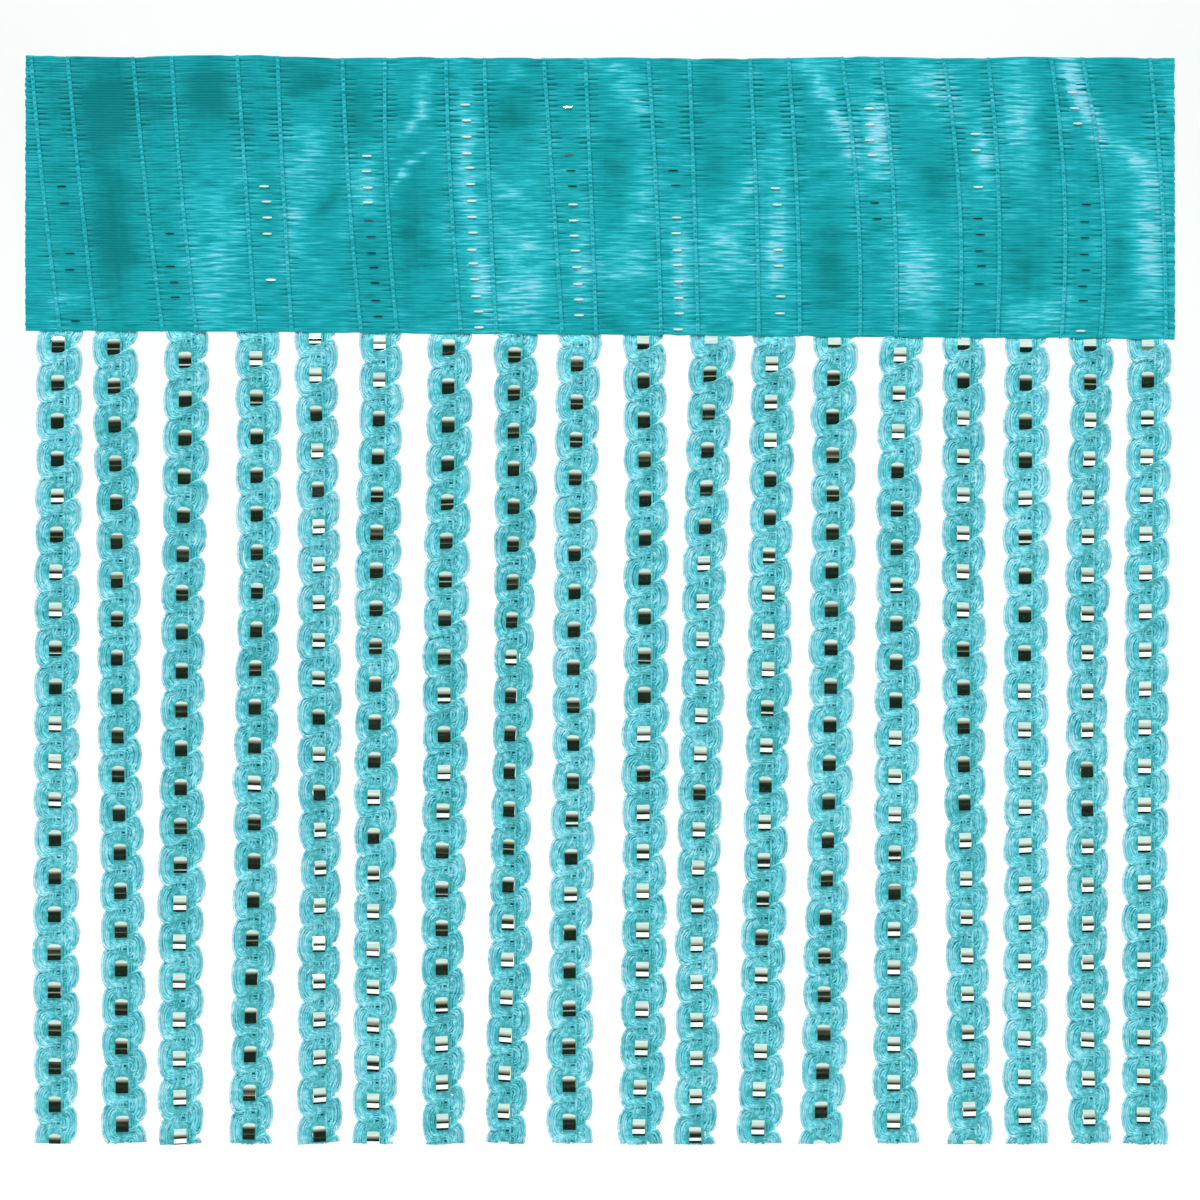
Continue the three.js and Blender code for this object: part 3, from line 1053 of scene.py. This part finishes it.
def hang(points, index):
    """Moves flat points, in the bench's frame, to where string number index hangs."""
    top, middle, foot, _, stretch, turn, swing = STRINGS[index]
    across, along, up = points.T
    root = root_depth(index)
    depth = bench_start(index) - along * stretch
    free = smooth_step(depth, root, root + STITCH)
    depth = depth + across * wander(index, *TILT, depth) * free
    fall = depth - root
    share = np.clip(fall / (TOTAL_DROP - root), 0, 1)
    angle = np.radians(turn + wander(index, *TURN, depth)) * smooth_step(fall, 0, SETTLE_DROP)
    across = across * (1 + wander(index, *WIDTH, depth))
    clear = smooth_step(fall, *ROOT_CLEARS)
    up = up * mix(ROOT_FLATNESS, 1.0, clear) - ROOT_BACK * (1 - clear)
    middle_x = regular_x(index) + through(np.array((top, middle, foot)) * MM, share)
    middle_x = middle_x + wander(index, *SIDEWAYS, depth)
    root_forward = float(rise(regular_x(index) + top * MM, root))
    foot_forward = root_forward * RISE_AT_FOOT + swing * MM
    forward = mix(root_forward, foot_forward, smooth_step(share, 0, 1))
    x = middle_x + across * np.cos(angle) + up * np.sin(angle)
    y = -forward + across * np.sin(angle) - up * np.cos(angle)
    return np.stack([x, y, -depth], axis=-1)


# %% Unevenness, and cutting a line to length
KNIT_SLACK = 0.055 * MM
KNIT_SLACK_LENGTH = 2.4 * MM
SLACK_IN_MIDDLE, SLACK_UPWARD = 0.5, 0.5


def uneven(line, index, number):
    """The same yarn, a little out of place, most of all at the string's edges."""
    slack = KNIT_SLACK * (SLACK_IN_MIDDLE + np.abs(line[:, 0]) / STRING_REACH)
    slacks = np.stack([slack, slack, slack * SLACK_UPWARD], axis=-1)
    channel = FIRST_YARN_CHANNEL + number * 3
    shifts = [
        wander(index, channel + axis, 1.0, -line[:, 1], KNIT_SLACK_LENGTH) for axis in range(3)
    ]
    return line + np.stack(shifts, axis=-1) * slacks


def cut_between(line, top, foot):
    """The stretches of a line that lie between two levels of the bench."""
    inside = (line[:, 1] <= -top) & (line[:, 1] >= -foot)
    runs, run = [], []
    for here in range(len(line)):
        if here and inside[here] != inside[here - 1]:
            level = -top if max(line[here, 1], line[here - 1, 1]) > -top else -foot
            share = (level - line[here - 1, 1]) / (line[here, 1] - line[here - 1, 1])
            run.append(mix(line[here - 1], line[here], share))
            if inside[here - 1]:
                runs.append(run)
                run = []
        if inside[here]:
            run.append(line[here])
    runs.append(run)
    return [np.array(run) for run in runs if len(run) > 2]


# %% Knit, cut, sweep and hang each string
strings = []
for index in range(len(STRINGS)):
    runs = []
    for number, stitch in enumerate(stitch_lines):
        repeats = [stitch[:-1] - (0, k * STITCH, 0) for k in range(STITCHES)]
        line = uneven(np.concatenate(repeats), index, number)
        runs += cut_between(line, *bench_length(index))
    string = sweep(f"string_{index + 1:02d}", runs, YARN_RADIUS)
    bench_points = points_of(string)
    note_on_points(string, "reach", np.abs(bench_points[:, 0]) / STRING_REACH)
    tone = wander(index, *TONE, TONE_DEPTH) + wander(index, *STREAK, -bench_points[:, 1])
    note_on_points(string, "shade", shade_at(bench_points) + tone)
    move_points(string, hang(bench_points, index))
    yarn.dress(string)
    strings.append(string)
print(len(strings), "strings:", triangles_of(*strings), "triangles")

# %% [markdown]
# ## The foil in the strings
# The foil is a flat strip as wide as a window. Over each window it arches out of the yarn:
# its upper part looks up, its middle looks at the viewer, and its lower part may tip down.
# How far the lower part tips decides whether the window mirrors the dark room before the
# curtain or the bright floor. The table gives that tip from 0, none, to 1, full, at seven
# places down each string. A window below eye level is seen from above, so its foil leans
# back by half that angle and still mirrors the same part of the room.

# %% The foil strips
FOIL_HALF_WIDTH = 0.98 * MM
FOIL_SHARP = math.radians(8)
FOIL_LEVEL, WINDOW_LEVEL, TIPPED_RISE = -0.1 * MM, 0.3 * MM, 0.15 * MM
HIDDEN_LEVEL = -0.6 * MM
# Creases of one stitch, as shares of it, and the foil's lean from each to the next, in degrees.
CREASES_PLAIN = np.array((0.29, 0.34, 0.38, 0.42, 0.46, 0.54, 0.57, 0.63, 0.70))
LEAN_PLAIN = np.array((19, 14, 10, 7, 3, 11, 2, 3))
CREASES_TIPPED = np.array((0.29, 0.36, 0.42, 0.46, 0.50, 0.53, 0.59, 0.65, 0.70))
LEAN_TIPPED = np.array((19, 16, 13, 9, 3, -20, -24, 5))
GLINT_FACET, GLINT_LEAN = 5, 3
TUCK = 0.006
TIP_STARTS, TIP_ENDS, TIP_UNEVEN = 0.25, 0.75, 0.15
FACET_UNEVEN = 1.0
FOIL_SEED = 500
# seven places from the top window to the foot
FOIL_TIP = (
    (0.1, 0.25, 0.4, 1.0, 0.0, 0.1, 0.1),
    (0.1, 0.2, 0.1, 0.1, 0.1, 0.1, 0.1),
    (0.4, 0.1, 0.1, 0.1, 0.8, 1.0, 1.0),
    (0.7, 0.3, 0.1, 0.3, 0.1, 0.1, 0.1),
    (0.8, 0.5, 0.6, 0.5, 0.8, 0.6, 0.5),
    (0.6, 0.3, 0.1, 0.1, 0.9, 0.6, 0.5),
    (0.4, 0.1, 0.1, 0.5, 0.2, 0.6, 0.9),
    (0.1, 0.1, 0.25, 0.2, 0.4, 1.0, 1.0),
    (0.1, 0.1, 0.1, 0.1, 0.3, 0.1, 0.4),
    (0.1, 0.2, 0.2, 0.5, 0.9, 1.0, 1.0),
    (0.2, 0.4, 1.0, 0.3, 0.9, 0.9, 0.1),
    (0.6, 0.2, 0.6, 0.4, 0.4, 0.9, 1.0),
    (0.1, 0.1, 0.1, 0.1, 0.1, 0.1, 0.1),
    (0.9, 0.1, 0.4, 0.8, 0.3, 0.9, 1.0),
    (0.5, 0.8, 0.2, 0.5, 0.9, 0.6, 0.8),
    (0.4, 0.3, 0.6, 1.0, 1.0, 0.9, 0.6),
    (0.1, 0.9, 0.8, 0.5, 0.9, 0.9, 0.6),
    (0.3, 1.0, 1.0, 0.8, 1.0, 1.0, 0.6),
)


def foil_profile(index):
    """The foil's creases down one string, as a line of points on the bench."""
    dice = np.random.default_rng(FOIL_SEED + index)
    places = np.linspace(0, 1, len(FOIL_TIP[index]))
    down, up = [], []
    for stitch in range(STITCHES):
        share = max(0, stitch - WINDOWS_ABOVE) / (STITCHES - WINDOWS_ABOVE)
        tip = np.interp(share, places, FOIL_TIP[index]) + dice.normal(0, TIP_UNEVEN)
        tip = float(smooth_step(tip, TIP_STARTS, TIP_ENDS))
        window_z = -bench_start(index) - (stitch + 0.5) * hung_stitch(index)
        above_eye = np.degrees(np.arctan2(window_z - view_middle_z, camera_distance))
        lean = mix(LEAN_PLAIN, LEAN_TIPPED, tip) - above_eye / 2
        lean = lean + dice.normal(0, FACET_UNEVEN, len(lean))
        lean[GLINT_FACET] -= dice.uniform(0, GLINT_LEAN)
        creases = mix(CREASES_PLAIN, CREASES_TIPPED, tip)
        climb = np.cumsum(np.tan(np.radians(lean)) * np.diff(creases) * STITCH)
        shares = (0, creases[0] - TUCK, *creases, creases[-1] + TUCK)
        level = WINDOW_LEVEL + TIPPED_RISE * tip
        between = mix(HIDDEN_LEVEL, FOIL_LEVEL, dice.uniform(0, 1) ** 2)
        heights = (between, FOIL_LEVEL, level, *(level + climb), FOIL_LEVEL)
        down += [(stitch + place) * STITCH for place in shares]
        up += heights
    return np.stack([np.zeros(len(down)), -np.array(down), up], axis=-1)


# %% Lay a strip in each string
foils = []
for index in range(len(STRINGS)):
    line = cut_between(foil_profile(index), *bench_length(index))[0]
    select_only()
    bpy.ops.mesh.primitive_grid_add(x_subdivisions=1, y_subdivisions=len(line) - 1, size=1)
    strip = named(f"strip_{index + 1:02d}")
    grid = points_of(strip)
    crease = np.rint((0.5 - grid[:, 1]) * (len(line) - 1)).astype(int)
    beside = FOIL_X + grid[:, 0] * 2 * FOIL_HALF_WIDTH
    bench_points = line[crease] + beside[:, None] * (1, 0, 0)
    move_points(strip, hang(bench_points, index))
    foils.append(strip)
foil_strips = join_pieces("foil_strips", foils)
add_modifier(foil_strips, "SOLIDIFY", thickness=FOIL_THICKNESS, offset=0.0)
finish_modifiers(foil_strips)
bpy.ops.object.shade_smooth_by_angle(angle=FOIL_SHARP)
foil.dress(foil_strips)
print("foil strips:", triangles_of(foil_strips), "triangles")

# %% [markdown]
# ## The studio
# A pale floor sweeps up behind the curtain. The room overhead is pale and bright, and the
# room before the curtain is dim near eye level, because that is what the flat parts of the
# foil mirror. A softbox at the upper left lights the yarns, a weaker one at the right
# softens their shadows, and a wide one behind the curtain lights the backdrop.

# %% Floor and backdrop in one sweep
FLOOR_Z = -0.30
FLOOR_FRONT, FLOOR_BACK = -1.1, 1.3
SWEEP_RADIUS, WALL_TOP = 0.6, 1.8
SWEEP_HALF_WIDTH = 2.4
SWEEP_STEPS = 16

studio = Look("studio")
studio.set(Base_Color=colour(0.87, 0.85, 0.855), Roughness=0.9)
select_only()
bpy.ops.mesh.primitive_plane_add(size=1)
backdrop = named("backdrop")
bend = np.linspace(0, np.pi / 2, SWEEP_STEPS)
profile = [(FLOOR_FRONT, FLOOR_Z)]
profile += [
    (FLOOR_BACK + SWEEP_RADIUS * math.sin(a), FLOOR_Z + SWEEP_RADIUS * (1 - math.cos(a)))
    for a in bend
]
profile += [(FLOOR_BACK + SWEEP_RADIUS, WALL_TOP)]
corners = [(side * SWEEP_HALF_WIDTH, y, z) for y, z in profile for side in (-1, 1)]
quads = [(2 * k, 2 * k + 1, 2 * k + 3, 2 * k + 2) for k in range(len(profile) - 1)]
backdrop.data.clear_geometry()
backdrop.data.from_pydata(corners, [], quads)
studio.dress(backdrop)
select_only(backdrop)
bpy.ops.object.shade_smooth()


# %% Lights
def softbox(name, place, aim, size, power):
    select_only()
    bpy.ops.object.light_add(type="AREA", location=place)
    light = named(name)
    light.data.shape = "RECTANGLE"
    light.data.size, light.data.size_y = size
    light.data.energy = power
    light.rotation_euler = (Vector(aim) - Vector(place)).to_track_quat("-Z", "Y").to_euler()


curtain_middle = (0, 0, -TOTAL_DROP / 2)
softbox("key", (-0.35, -0.5, 0.95), curtain_middle, (0.3, 0.4), 12.0)
softbox("side", (0.85, -0.5, 0.35), curtain_middle, (0.3, 0.6), 2.2)
softbox("wall", (0, 0.8, 1.3), (0, 1.9, 0.7), (2.0, 0.6), 14.0)

# %% The room round the studio
ROOM_DARK = colour(0.010, 0.022, 0.014)
ROOM_TAN = colour(0.36, 0.31, 0.22)
ROOM_PALE = colour(0.84, 1.0, 0.97)
ROOM_BEHIND = colour(0.92, 0.95, 0.97)
# Where one tone turns into the next, as parts of a direction one unit long.
DARK_TO_TAN, TAN_TO_PALE, FRONT_TO_BEHIND = (0.2, 0.38), (0.34, 0.52), (-0.2, 0.3)

world = bpy.data.worlds.new("room")
bpy.context.scene.world = world
world.use_nodes = True
room = Recipe(world.node_tree)
toward = room.add("ShaderNodeTexCoord").outputs["Generated"]
direction = room.add("ShaderNodeSeparateXYZ", None, {0: toward})
behind = Number(room, direction.outputs["Y"])
height = Number(room, direction.outputs["Z"])
low_part = room.blend(height.within(*DARK_TO_TAN), ROOM_DARK, ROOM_TAN)
front = room.blend(height.within(*TAN_TO_PALE), low_part, ROOM_PALE)
room.feed(
    room.tree.nodes["Background"].inputs["Color"],
    room.blend(behind.within(*FRONT_TO_BEHIND), front, ROOM_BEHIND),
)
bpy.context.scene.view_settings.view_transform = "Standard"

# %% [markdown]
# ## Joining the looks to the imported model
# Every piece rides on the model's one body, and the imported node that it stands for is
# hidden.

# %% Ride, and hide the imported nodes
for piece, node, slot in (
    (heading_cloth, "heading", "heading_knit"),
    (heading_floats, "heading", "heading_knit"),
    (heading_chains, "heading", "heading_knit"),
    (heading_foil, "heading", "foil_strip"),
    (foil_strips, "strings", "foil_strip"),
    *((string, "strings", "string_knit") for string in strings),
):
    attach(piece, BODY)
    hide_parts(node)
